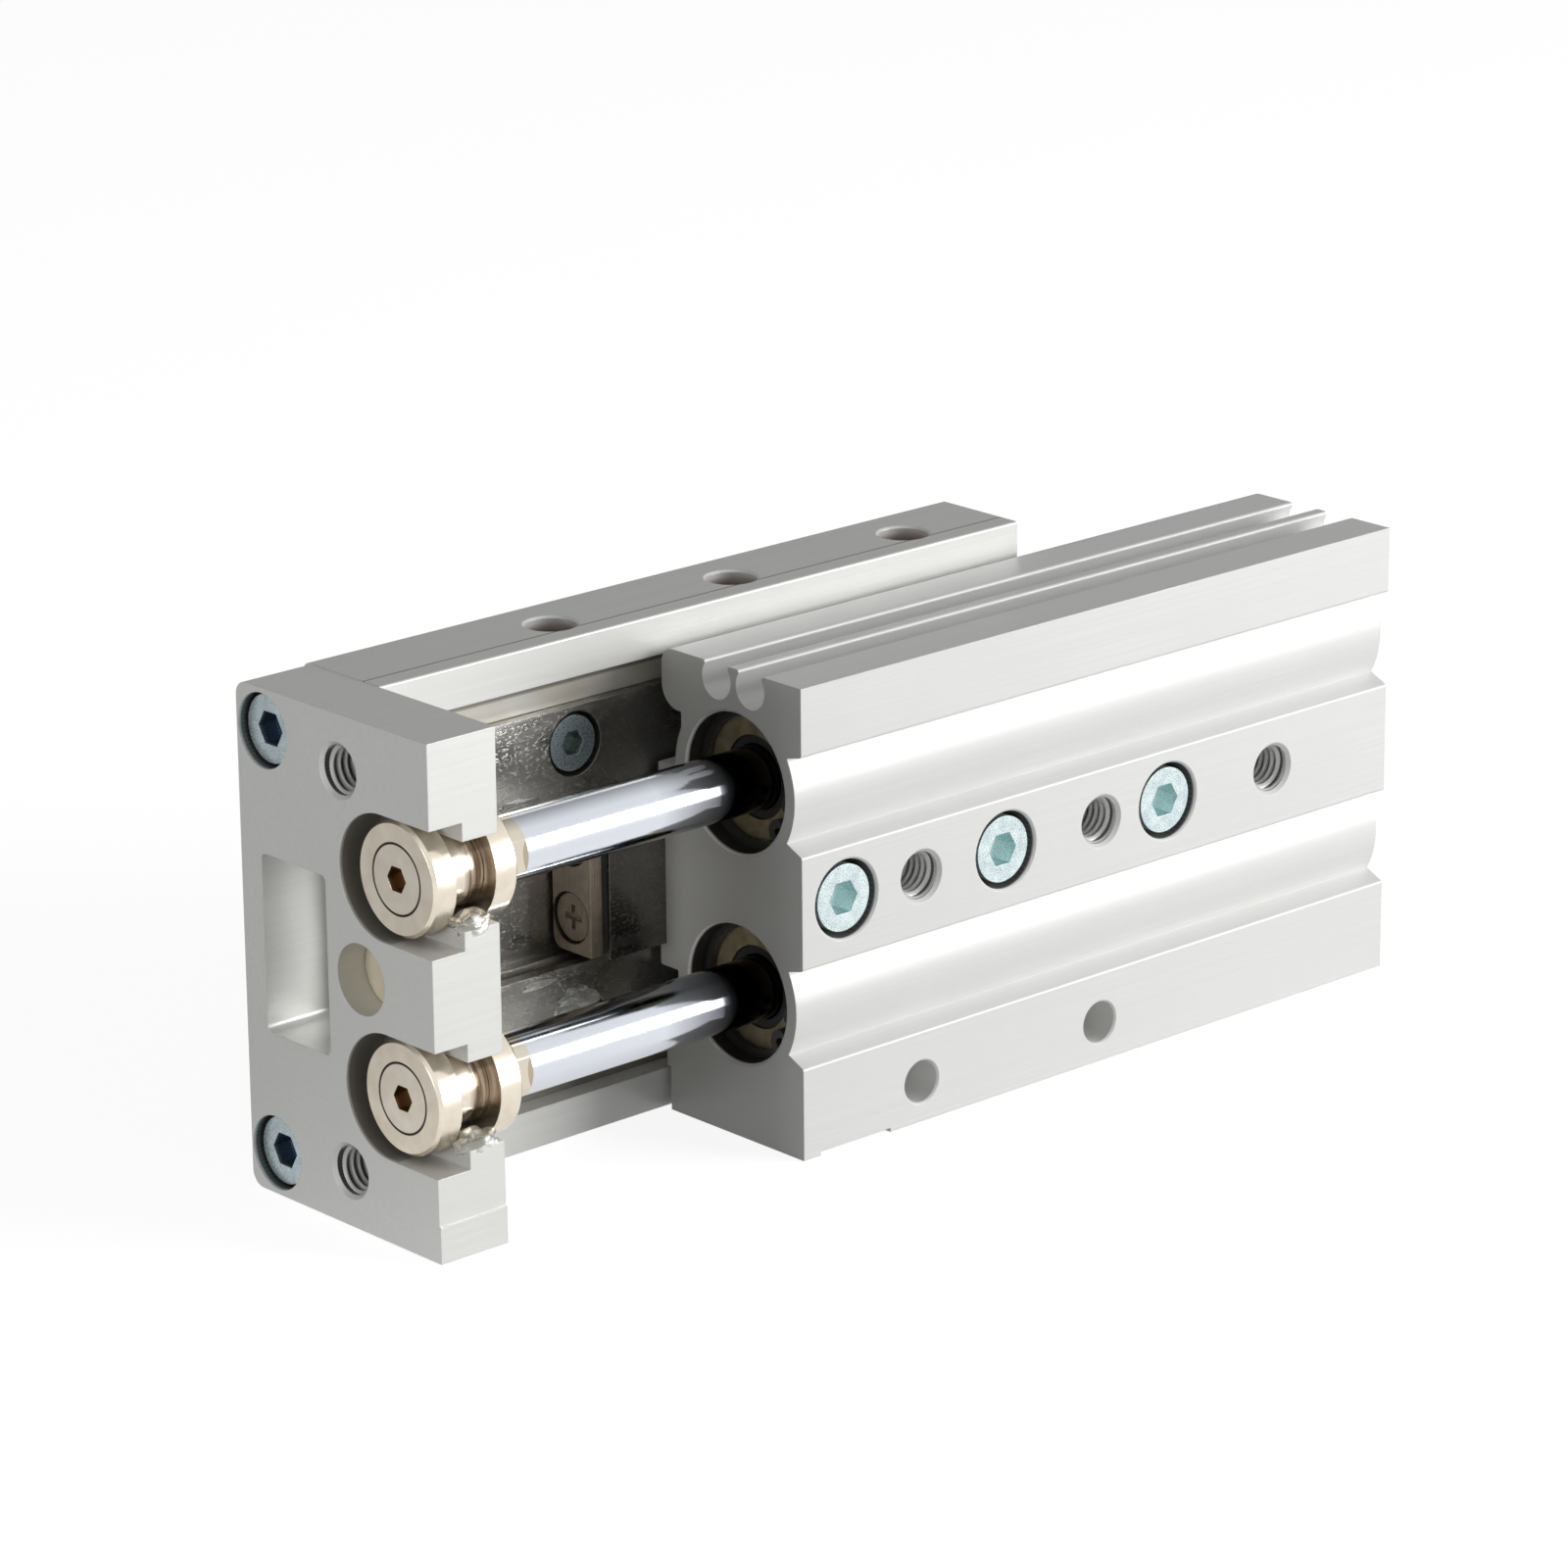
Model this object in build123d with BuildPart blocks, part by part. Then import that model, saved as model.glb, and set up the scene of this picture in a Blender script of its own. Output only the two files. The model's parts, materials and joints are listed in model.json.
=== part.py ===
from build123d import *
from math import cos, radians, sin
import os

os.makedirs("parts", exist_ok=True)

# Compact air slide table, 16 mm bore, two rods, standing on its narrow side with the table run out.
# X runs along the stroke (end plate at -X), Y from the mounting face to the table top, Z across the width.
# The origin is under the middle of the overall box, on the surface the part stands on.

# Driving dimensions, millimetres
stroke = 40.0
closed_gap = 3.3
overall_height = 40.0
body_length = 103.0
body_width = 60.0
guide_shift = 2.0
bore_d = 16.0
bore_height = 12.0
bore_pitch = 27.0
table_length = 104.0
table_width = 63.8
table_thickness = 14.5
table_gap = 0.4
plate_thickness = 10.1
plate_underside = 4.2
plate_inset = 0.1
rod_d = 8.0

# Fits and clearances
slip = 0.05
seat_gap = 0.1
loose = 0.3

# Places that follow from the driving dimensions
plate_back = -(stroke + closed_gap)
plate_front = plate_back - plate_thickness
table_underside = overall_height - table_thickness
lobe_height = table_underside - table_gap
guide_line = body_width / 2 + guide_shift
table_half = table_width / 2
plate_half = table_half - plate_inset
front_x = -(body_length + plate_front) / 2
face_y = -overall_height / 2
bore_z = {"lower": guide_line - bore_pitch / 2, "upper": guide_line + bore_pitch / 2}
sides = ("upper", "lower")


# A plane across the stroke, s behind the front face of the body: local x is height, local y is Z
def across(s):
    return Plane(origin=(front_x + s, face_y, 0), x_dir=(0, 1, 0), z_dir=(1, 0, 0))


# A plane parallel to the mounting face at height h: local x is s, local y is Z, cuts go in with a minus amount
def facing(h):
    return Plane(origin=(front_x, face_y + h, 0), x_dir=(1, 0, 0), z_dir=(0, -1, 0))


# A plane through a bore's axis for turned profiles: local x is s, local y is the radius
def through_bore(side):
    return Plane(origin=(front_x, face_y + bore_height, bore_z[side]), x_dir=(1, 0, 0), z_dir=(0, -1, 0))


def bore_axis(side):
    return Axis((front_x, face_y + bore_height, bore_z[side]), (1, 0, 0))


def finish(builder, name):
    builder.part.label = name
    export_step(builder.part, "parts/" + name + ".step")


# Screws: clearance bore, shank, threaded bore, head, socket
m4 = dict(clear=4.5, shank=4.0, thread=4.1, head=7.0, height=4.0, flats=3.0, socket=2.0)
m5 = dict(clear=5.5, shank=5.0, thread=5.1, head=8.5, height=5.0, flats=4.0, socket=2.5)
m6_thread = 6.0
m6_mouth = 7.0
screw_tip_room = 0.5
hex_corner = 1 / (2 * cos(radians(30)))

# Recirculating guide, heights from the mounting face: the rail hangs in the table, the block stands on the body
rail_proud = 1.5
rail_thickness = 7.4
rail_web = 1.7
rail_clearance = 0.5
block_height = 7.3
rail_face = table_underside + rail_proud
rail_back = rail_face + rail_thickness
rail_channel_floor = rail_back - rail_web
block_top = rail_channel_floor - rail_clearance
seat_height = block_top - block_height

# Body
recess_reach = (-6.7, 5.9)
recess_floor_reach = (-5.4, 5.2)
recess_depth = 2.8
wall_radius = 10.8
lobe_inner = 20.4
lobe_round = 3.0
lobe_corner = 2.0
channel_depth = 3.5
pad_half = 13.2
pad_lip = 1.1
seat_half = 10.3
edge_round = 0.4
toe_step = 0.7
toe_width = 5.7
groove_r = 2.6
groove_lip = 0.35
groove_sink = 2.0
groove_heights = (9.0, 15.1)
mouth_d = 17.7
mouth_chamfer = 0.3
cover_face = 3.5
ring_thickness = 1.0
ring_groove_d = 18.8
cover_flange = 6.0
cover_end = 18.5
cap_inset = 4.0
cap_flange = 7.0
cap_spigot = 8.0
cap_nose_length = 4.0

block_screw_s = (7.3, 34.1, 62.6)
screw_pocket_d = 10.0
screw_pocket_depth = 5.6
tap_s = (19.7, 50.7, 81.7)
tap_depth = 12.0
port_s = (tap_s[0], tap_s[1])
port_z = 5.2
port_d = 5.4
port_depth = 18.0
hole_chamfer = 0.25
drill_d = 1.6
drill_height = 16.6
gallery_d = 2.5
gallery_height = 14.0
plug_d = 2.0
gallery_plug_d = 3.0
plug_sink = 0.2
foot_notch = (2.8, 14.4, 3.0, 0.5)

cap_face = body_length - cap_inset
cap_flange_start = cap_face - cap_flange
cap_relief_end = cap_flange_start - cap_spigot
cap_nose = cap_relief_end - cap_nose_length
rear_drill_s = cap_nose + cap_nose_length / 2
tap_mouth = (m6_mouth - m6_thread) / 2
upper_lobe = body_width - guide_line - lobe_inner
channel_floor = lobe_height - channel_depth
pad_height = seat_height + pad_lip

with BuildPart() as cylinder_body:
    with BuildSketch(across(0)) as section:
        with Locations((lobe_height / 2, body_width / 2)):
            Rectangle(lobe_height, body_width)
        with Locations(((lobe_height + channel_floor) / 2, guide_line)):
            Rectangle(channel_depth, 2 * lobe_inner, mode=Mode.SUBTRACT)
        lobe_corners = section.vertices().group_by(Axis.X)[-1].sort_by(Axis.Y)
        fillet(lobe_corners[1:3], min(lobe_round, upper_lobe / 2))
        fillet(section.vertices().group_by(Axis.X)[-1].sort_by(Axis.Y)[-1], min(lobe_corner, upper_lobe / 3))
        with Locations((lobe_height - toe_step / 2, toe_width / 2)):
            Rectangle(toe_step, toe_width, mode=Mode.SUBTRACT)
        with Locations(((pad_height + bore_height) / 2, guide_line)):
            Rectangle(pad_height - bore_height, 2 * pad_half)
        # The recess under each bore narrows with depth
        for side in sides:
            low, high = [bore_z[side] + reach for reach in recess_reach]
            floor_low, floor_high = [bore_z[side] + reach for reach in recess_floor_reach]
            with BuildLine():
                Polyline((0, low), (0, high), (recess_depth, floor_high), (recess_depth, floor_low), close=True)
            make_face(mode=Mode.SUBTRACT)
        fillet(section.vertices().group_by(Axis.X)[0].sort_by(Axis.Y)[1:-1], edge_round)
        bores = [(bore_height, bore_z[side]) for side in sides]
        with Locations(*bores):
            Circle(wall_radius)
            Circle(bore_d / 2, mode=Mode.SUBTRACT)
        with Locations((pad_height, guide_line)):
            Rectangle(2 * pad_lip, 2 * seat_half, mode=Mode.SUBTRACT)
        fillet(section.vertices().group_by(Axis.X)[-1], edge_round)
        with Locations(*[(h, body_width - groove_sink) for h in groove_heights]):
            Circle(groove_r, mode=Mode.SUBTRACT)
        top_points = section.vertices().group_by(Axis.Y)[-1]
        lips = [v for v in top_points if groove_heights[0] - groove_r < v.X < groove_heights[-1] + groove_r]
        fillet(lips, groove_lip)
    extrude(amount=body_length)
    # Bore mouths, front and rear, with their snap ring grooves
    with BuildSketch(across(0)):
        with Locations(*bores):
            Circle(mouth_d / 2)
    extrude(amount=cover_face + cover_flange, mode=Mode.SUBTRACT)
    with BuildSketch(across(cap_flange_start)):
        with Locations(*bores):
            Circle(mouth_d / 2)
    extrude(amount=body_length - cap_flange_start, mode=Mode.SUBTRACT)
    for groove_start in (cover_face - ring_thickness, cap_face):
        with BuildSketch(across(groove_start)):
            with Locations(*bores):
                Circle(ring_groove_d / 2)
        extrude(amount=ring_thickness, mode=Mode.SUBTRACT)
    mouths = cylinder_body.edges().filter_by(GeomType.CIRCLE)
    mouths = mouths.filter_by(lambda e: abs(e.radius - mouth_d / 2) < 0.01)
    front_mouths = mouths.filter_by(lambda e: abs(e.arc_center.X - front_x) < 0.01)
    rear_mouths = mouths.filter_by(lambda e: abs(e.arc_center.X - front_x - body_length) < 0.01)
    chamfer(front_mouths + rear_mouths, mouth_chamfer)
    # Holes in the mounting face: counterbores for the guide block's screws, taps and ports
    with Locations(facing(0)):
        with Locations(*[(s, guide_line) for s in block_screw_s]):
            CounterBoreHole(m5["clear"] / 2, screw_pocket_d / 2, screw_pocket_depth, depth=seat_height + 1)
        with Locations(*[(s, guide_line) for s in tap_s]):
            Hole(m6_thread / 2, depth=tap_depth)
        with Locations(*[(s, port_z) for s in port_s]):
            Hole(port_d / 2, depth=port_depth)
    rims = cylinder_body.edges().filter_by(GeomType.CIRCLE)
    rims = rims.filter_by(lambda e: abs(e.arc_center.Y - face_y) < 0.01)
    chamfer(rims.filter_by(lambda e: abs(e.radius - m6_thread / 2) < 0.01), tap_mouth)
    chamfer(rims.filter_by(lambda e: abs(e.radius - m6_thread / 2) > 0.01), hole_chamfer)
    # Air drillings: one along the body to the rear chamber, two across both bores
    with BuildSketch(across(port_s[1])):
        with Locations((gallery_height, port_z)):
            Circle(gallery_d / 2)
    extrude(amount=body_length - port_s[1], mode=Mode.SUBTRACT)
    with BuildSketch(Plane(origin=(front_x, face_y, 0))):
        with Locations((port_s[0], drill_height), (rear_drill_s, gallery_height)):
            Circle(drill_d / 2)
    extrude(amount=bore_z["upper"], mode=Mode.SUBTRACT)
    with BuildSketch(Plane(origin=(front_x, face_y, 0))):
        with Locations((port_s[0], drill_height), (rear_drill_s, gallery_height)):
            Circle(plug_d / 2)
    extrude(amount=plug_d + plug_sink, mode=Mode.SUBTRACT)
    with BuildSketch(across(body_length)):
        with Locations((gallery_height, port_z)):
            Circle(gallery_plug_d / 2)
    extrude(amount=-(gallery_plug_d + plug_sink), mode=Mode.SUBTRACT)
    # Shallow notch along the foot of the mounting face
    notch_from, notch_to, notch_reach, notch_depth = foot_notch
    with BuildSketch(Plane(origin=(front_x, face_y, 0))):
        with Locations(((notch_from + notch_to) / 2, notch_reach / 2)):
            Rectangle(notch_to - notch_from, notch_reach)
    extrude(amount=notch_depth, mode=Mode.SUBTRACT)
finish(cylinder_body, "cylinder_body")

# Steel balls that close the drillings
with BuildPart() as passage_plugs:
    plug_r = plug_d / 2 - slip / 2
    gallery_plug_r = gallery_plug_d / 2 - slip / 2
    drillings = [(port_s[0], drill_height), (rear_drill_s, gallery_height)]
    with Locations(*[(front_x + s, face_y + h, plug_r + plug_sink) for s, h in drillings]):
        Sphere(plug_r)
    gallery_plug_x = front_x + body_length - gallery_plug_r - plug_sink
    with Locations((gallery_plug_x, face_y + gallery_height, port_z)):
        Sphere(gallery_plug_r)
finish(passage_plugs, "passage_plugs")

# Pieces in each bore that stay with the body
seal_d = 10.6
seal_depth = 3.0
seal_sink = 0.3
seal_land = 0.8
seal_dish = 1.4
seal_flare = 0.5
seal_squeeze = 0.1
oring_wire = 1.6
oring_sides = 8
oring_shoulder = 3.0
bumper_d = 13.0
bumper_thickness = 1.9
rear_bumper_thickness = 1.4
cap_nose_d = 13.0
cap_dish_d = 9.0
cap_dish_depth = 2.0
ring_width = 1.5
ring_ear = 1.7
ring_gap = 1.6
ring_gap_angle = 212.0
ring_ear_angle = 17.0
ring_hole_d = 1.3

for side in sides:
    plane = through_bore(side)
    axis = bore_axis(side)
    flange_r = mouth_d / 2 - seat_gap
    spigot_r = bore_d / 2 - seat_gap
    guide_r = rod_d / 2 + slip
    oring_mid = cover_face + cover_flange + oring_shoulder
    oring_floor = bore_d / 2 - oring_wire
    oring_groove = oring_wire + 2 * slip
    oring_r = oring_wire / 2 - slip / 2
    with BuildPart() as rod_cover:
        with BuildSketch(plane):
            start = cover_face + slip
            shoulder = cover_face + cover_flange - slip
            points = [(start, seal_d / 2), (start, flange_r), (shoulder, flange_r), (shoulder, spigot_r)]
            points += [(oring_mid - oring_groove / 2, spigot_r), (oring_mid - oring_groove / 2, oring_floor)]
            points += [(oring_mid + oring_groove / 2, oring_floor), (oring_mid + oring_groove / 2, spigot_r)]
            points += [(cover_end, spigot_r), (cover_end, guide_r)]
            points += [(start + seal_depth, guide_r), (start + seal_depth, seal_d / 2)]
            with BuildLine():
                Polyline(*points, close=True)
            make_face()
        revolve(axis=axis)
    finish(rod_cover, "rod_cover_" + side)

    with BuildPart() as rod_seal:
        with BuildSketch(plane):
            back = start + seal_depth
            outer = seal_d / 2 - slip
            points = [(start + seal_sink, outer), (back, outer), (back, guide_r), (back - seal_land, guide_r)]
            points += [(start + seal_dish, guide_r + seal_flare), (start + seal_sink, guide_r + seal_squeeze)]
            with BuildLine():
                Polyline(*points, close=True)
            make_face()
        revolve(axis=axis)
    finish(rod_seal, "rod_seal_" + side)

    with BuildPart() as cover_oring:
        with BuildSketch(plane):
            with Locations((oring_mid, oring_floor + oring_wire / 2)):
                RegularPolygon(oring_r, oring_sides)
        revolve(axis=axis)
    finish(cover_oring, "cover_oring_" + side)

    with BuildPart() as front_bumper:
        with BuildSketch(across(cover_end)):
            with Locations((bore_height, bore_z[side])):
                Circle(bumper_d / 2)
                Circle(rod_d / 2 + loose, mode=Mode.SUBTRACT)
        extrude(amount=bumper_thickness)
    finish(front_bumper, "front_bumper_" + side)

    with BuildPart() as head_cap:
        with BuildSketch(plane):
            oring_rear = cap_relief_end + oring_shoulder
            points = [(cap_nose, 0), (cap_nose, cap_nose_d / 2), (cap_relief_end, cap_nose_d / 2)]
            points += [(cap_relief_end, spigot_r), (oring_rear - oring_groove / 2, spigot_r)]
            points += [(oring_rear - oring_groove / 2, oring_floor)]
            points += [(oring_rear + oring_groove / 2, oring_floor)]
            points += [(oring_rear + oring_groove / 2, spigot_r), (cap_flange_start + slip, spigot_r)]
            points += [(cap_flange_start + slip, flange_r), (cap_face - slip, flange_r)]
            points += [(cap_face - slip, cap_dish_d / 2), (cap_face - cap_dish_depth, cap_dish_d / 2)]
            points += [(cap_face - cap_dish_depth, 0)]
            with BuildLine():
                Polyline(*points, close=True)
            make_face()
        revolve(axis=axis)
    finish(head_cap, "head_cap_" + side)

    with BuildPart() as cap_oring:
        with BuildSketch(plane):
            with Locations((oring_rear, oring_floor + oring_wire / 2)):
                RegularPolygon(oring_r, oring_sides)
        revolve(axis=axis)
    finish(cap_oring, "cap_oring_" + side)

    with BuildPart() as rear_bumper:
        with BuildSketch(across(cap_nose - rear_bumper_thickness)):
            with Locations((bore_height, bore_z[side])):
                Circle(bumper_d / 2)
        extrude(amount=rear_bumper_thickness)
    finish(rear_bumper, "rear_bumper_" + side)

    # Snap rings with two ears, in their grooves at both ends of the bore
    for name, groove_start in (("cover_ring_", cover_face - ring_thickness), ("cap_ring_", cap_face)):
        with BuildPart() as snap_ring:
            with BuildSketch(across(groove_start + slip)):
                with Locations((bore_height, bore_z[side])):
                    ring_r = ring_groove_d / 2 - seat_gap
                    Circle(ring_r)
                    Circle(ring_r - ring_width, mode=Mode.SUBTRACT)
                    ear_reach = ring_r - ring_ear
                    ears = [radians(ring_gap_angle + i * ring_ear_angle) for i in (-1, 1)]
                    ear_places = [(ear_reach * cos(a), ear_reach * sin(a)) for a in ears]
                    with Locations(*ear_places):
                        Circle(ring_ear)
                    gap = (ring_r * cos(radians(ring_gap_angle)), ring_r * sin(radians(ring_gap_angle)))
                    with Locations(Location(gap, ring_gap_angle)):
                        Rectangle(4 * ring_ear, ring_gap, mode=Mode.SUBTRACT)
                    with Locations(*ear_places):
                        Circle(ring_hole_d / 2, mode=Mode.SUBTRACT)
            extrude(amount=ring_thickness - 2 * slip)
        finish(snap_ring, name + side)

# Recirculating guide block on the body
block_centre_s = 34.95
block_front = -9.1
block_rear = 2 * block_centre_s - block_front
block_base_half = 10.2
block_half = 9.4
block_base = 1.6
ball_d = 2.4
ball_gap = 0.02
race_room = 0.1
race_below_top = 2.3
race_offset = 9.9
return_above_seat = 2.0
return_offset = 7.2
return_d = 2.7
turn_depth = 4.5
turn_half = 8.6
turn_wall = 0.5
scraper_thickness = 1.2
scraper_inset = 0.4
guide_cover_thickness = 1.8
cover_inset = 0.1
cover_screw_rise = 0.25
cover_screw_offset = 5.0
cover_screw_head = 6.2
cover_screw_sink = 0.4
cover_screw_head_gap = 0.15
cover_screw_shank = 3.0
cover_screw_length = 9.0
cross_length = 3.2
cross_width = 0.8
cross_depth = 0.9
cover_corner = 1.6
block_screw_reach = 5.7

race_height = block_top - race_below_top
race_r = (ball_d + race_room) / 2 + slip
return_height = seat_height + return_above_seat
turn_bottom = seat_height + turn_wall
turn_top = block_top - turn_wall
block_middle = (seat_height + block_top) / 2
cover_screw_height = block_middle + cover_screw_rise
block_screw_tip = seat_height + block_screw_reach

with BuildPart() as guide_block:
    with BuildSketch(across(block_front)):
        with Locations((seat_height + block_base / 2, guide_line)):
            Rectangle(block_base, 2 * block_base_half)
        with Locations((block_middle, guide_line)):
            Rectangle(block_height, 2 * block_half)
        races = [(race_height, guide_line + i * race_offset) for i in (-1, 1)]
        with Locations(*races):
            Circle(race_r, mode=Mode.SUBTRACT)
        returns = [(return_height, guide_line + i * return_offset) for i in (-1, 1)]
        with Locations(*returns):
            Circle(return_d / 2, mode=Mode.SUBTRACT)
    extrude(amount=block_rear - block_front)
    for end, inward in ((block_front, 1), (block_rear, -1)):
        with BuildSketch(across(end)):
            with Locations(((turn_bottom + turn_top) / 2, guide_line)):
                Rectangle(turn_top - turn_bottom, 2 * turn_half)
        extrude(amount=inward * turn_depth, mode=Mode.SUBTRACT)
    with Locations(facing(seat_height)):
        with Locations(*[(s, guide_line) for s in block_screw_s]):
            Hole(m5["thread"] / 2, depth=block_screw_reach + screw_tip_room)
    cover_screws = [(cover_screw_height, guide_line + i * cover_screw_offset) for i in (-1, 1)]
    for end, inward in ((block_front, 1), (block_rear, -1)):
        with BuildSketch(across(end)):
            with Locations(*cover_screws):
                Circle(cover_screw_shank / 2 + slip)
        extrude(amount=inward * (cover_screw_length + screw_tip_room), mode=Mode.SUBTRACT)
finish(guide_block, "guide_block")

with BuildPart() as guide_block_screws:
    with BuildSketch(facing(screw_pocket_depth)):
        with Locations(*[(s, guide_line) for s in block_screw_s]):
            Circle(m5["head"] / 2)
    extrude(amount=m5["height"])
    with BuildSketch(facing(screw_pocket_depth)):
        with Locations(*[(s, guide_line) for s in block_screw_s]):
            Circle(m5["shank"] / 2)
    extrude(amount=-(block_screw_tip - screw_pocket_depth))
    with BuildSketch(facing(screw_pocket_depth - m5["height"])):
        with Locations(*[(s, guide_line) for s in block_screw_s]):
            RegularPolygon(m5["flats"] * hex_corner, 6)
    extrude(amount=-m5["socket"], mode=Mode.SUBTRACT)
finish(guide_block_screws, "guide_block_screws")

for where, end, outward in (("front", block_front, -1), ("rear", block_rear, 1)):
    with BuildPart() as return_guide:
        with BuildSketch(across(end)):
            with Locations(((turn_bottom + turn_top) / 2, guide_line)):
                Rectangle(turn_top - turn_bottom - 2 * slip, 2 * turn_half - 2 * slip)
            with Locations(*cover_screws):
                Circle(cover_screw_shank / 2 + slip, mode=Mode.SUBTRACT)
        extrude(amount=-outward * (turn_depth - slip))
    finish(return_guide, "return_guide_" + where)

    with BuildPart() as scraper:
        with BuildSketch(across(end)):
            with Locations((block_middle, guide_line)):
                Rectangle(block_height - 2 * scraper_inset, 2 * (block_half - scraper_inset))
            with Locations(*cover_screws):
                Circle(cover_screw_shank / 2 + slip, mode=Mode.SUBTRACT)
        extrude(amount=outward * scraper_thickness)
    finish(scraper, "scraper_" + where)

    with BuildPart() as guide_cover:
        plate_plane = across(end + outward * scraper_thickness)
        with BuildSketch(plate_plane) as outline:
            with Locations((block_middle, guide_line)):
                Rectangle(block_height - 2 * cover_inset, 2 * block_half)
            fillet(outline.vertices().group_by(Axis.X)[-1], cover_corner)
            with Locations(*cover_screws):
                Circle(cover_screw_shank / 2 + slip, mode=Mode.SUBTRACT)
        extrude(amount=outward * guide_cover_thickness)
        face_plane = across(end + outward * (scraper_thickness + guide_cover_thickness))
        head_plane = across(end + outward * (scraper_thickness + guide_cover_thickness - cover_screw_sink))
        head_depth = guide_cover_thickness - cover_screw_sink
        with BuildSketch(face_plane):
            with Locations(*cover_screws):
                Circle(cover_screw_head / 2 + cover_screw_head_gap)
        extrude(amount=-outward * head_depth, mode=Mode.SUBTRACT)
    finish(guide_cover, "guide_cover_" + where)

    with BuildPart() as cover_screws_part:
        with BuildSketch(head_plane):
            with Locations(*cover_screws):
                Circle(cover_screw_head / 2)
        extrude(amount=-outward * (head_depth - cover_screw_sink))
        with BuildSketch(head_plane):
            with Locations(*cover_screws):
                Circle(cover_screw_shank / 2)
        extrude(amount=-outward * cover_screw_length)
        with BuildSketch(head_plane):
            with Locations(*cover_screws):
                Rectangle(cross_length, cross_width)
                Rectangle(cross_width, cross_length)
        extrude(amount=-outward * cross_depth, mode=Mode.SUBTRACT)
    finish(cover_screws_part, "guide_cover_screws_" + where)

# Balls in the two load races, side by side from one return guide to the other
race_run = block_rear - block_front - 2 * turn_depth
ball_count = int(race_run / (ball_d + ball_gap))
ball_pitch = race_run / ball_count
ball_start = front_x + block_front + turn_depth + ball_pitch / 2
for side, turn in (("upper", 1), ("lower", -1)):
    with BuildPart() as ball_row:
        ball_z = guide_line + turn * race_offset
        places = [(ball_start + i * ball_pitch, face_y + race_height, ball_z) for i in range(ball_count)]
        with Locations(*places):
            Sphere(ball_d / 2)
    finish(ball_row, "ball_row_" + side)

# Table, its steel guide and the screws between them
ledge_margin = 5.1
ledge_depth = 3.0
rail_margin = 9.3
rail_channel_half = 10.4
rail_set_back = 0.5
rail_corner = 2.0
rail_screw_first = 8.4
rail_screw_pitch = 22.5
rail_screw_count = 5
rail_screw_margin = 4.8
rail_screw_pocket_d = 8.2
rail_screw_pocket_depth = 4.4
rail_screw_cover = 1.4
table_round = 1.3
table_edge = 0.3
side_hole_pitch = 29.25
side_hole_first = 31.3
side_hole_drop = 8.4
side_hole_d = 6.5
side_hole_depth = 5.0
table_tap_margin = 5.9
table_tap_depth = 10.0
plate_screw_drop = 4.9
plate_screw_margin = 5.4
plate_screw_pocket_d = 9.3
plate_screw_pocket_depth = 6.2
plate_screw_reach = 11.4

ledge_half = table_half - ledge_margin
ledge_height = table_underside + ledge_depth
rail_half = table_half - rail_margin
rail_pocket_half = rail_half + seat_gap / 2
rail_front = plate_back + rail_set_back
rail_length = table_length - 2 * rail_set_back
rail_screw_offset = rail_half - rail_screw_margin
rail_screw_tip = overall_height - rail_screw_cover
side_hole_height = overall_height - side_hole_drop
plate_screw_height = overall_height - plate_screw_drop
table_tap_offset = table_half - table_tap_margin
side_holes = [plate_back + side_hole_first + i * side_hole_pitch for i in range(3)]
rail_screws = [(plate_back + rail_screw_first + i * rail_screw_pitch, guide_line + j * rail_screw_offset)
               for i in range(rail_screw_count) for j in (-1, 1)]
table_taps = [(s - side_hole_pitch / 2, guide_line + j * table_tap_offset) for s in side_holes for j in (-1, 1)]
plate_screws = [(plate_screw_height, guide_line + j * (table_half - plate_screw_margin)) for j in (-1, 1)]

with BuildPart() as table:
    with BuildSketch(across(plate_back)) as section:
        with Locations(((table_underside + overall_height) / 2, guide_line)):
            Rectangle(table_thickness, table_width)
        fillet(section.vertices().group_by(Axis.X)[-1], table_round)
        fillet(section.vertices().group_by(Axis.X)[0], table_edge)
        with Locations(((table_underside + ledge_height) / 2, guide_line)):
            Rectangle(ledge_depth, 2 * ledge_half, mode=Mode.SUBTRACT)
        with Locations(((table_underside + rail_back) / 2, guide_line)):
            Rectangle(rail_back - table_underside, 2 * rail_pocket_half, mode=Mode.SUBTRACT)
    extrude(amount=table_length)
    with Locations(facing(rail_back)):
        with Locations(*rail_screws):
            Hole(m4["thread"] / 2, depth=rail_screw_tip - rail_back + screw_tip_room)
    with BuildSketch(facing(overall_height)):
        with Locations(*table_taps):
            Circle(m6_thread / 2)
    extrude(amount=table_tap_depth, mode=Mode.SUBTRACT)
    tap_rims = table.edges().filter_by(GeomType.CIRCLE).group_by(Axis.Y)[-1]
    chamfer(tap_rims, tap_mouth)
    with BuildSketch(Plane.XY.offset(guide_line + table_half)):
        with Locations(*[(front_x + s, face_y + side_hole_height) for s in side_holes]):
            Circle(side_hole_d / 2)
    extrude(amount=-side_hole_depth, mode=Mode.SUBTRACT)
    with BuildSketch(across(plate_back)):
        with Locations(*plate_screws):
            Circle(m5["thread"] / 2)
    extrude(amount=plate_screw_reach + screw_tip_room, mode=Mode.SUBTRACT)
    side_rims = table.edges().filter_by(GeomType.CIRCLE).group_by(Axis.Z)[-1]
    chamfer(side_rims, hole_chamfer)
finish(table, "table")

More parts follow.
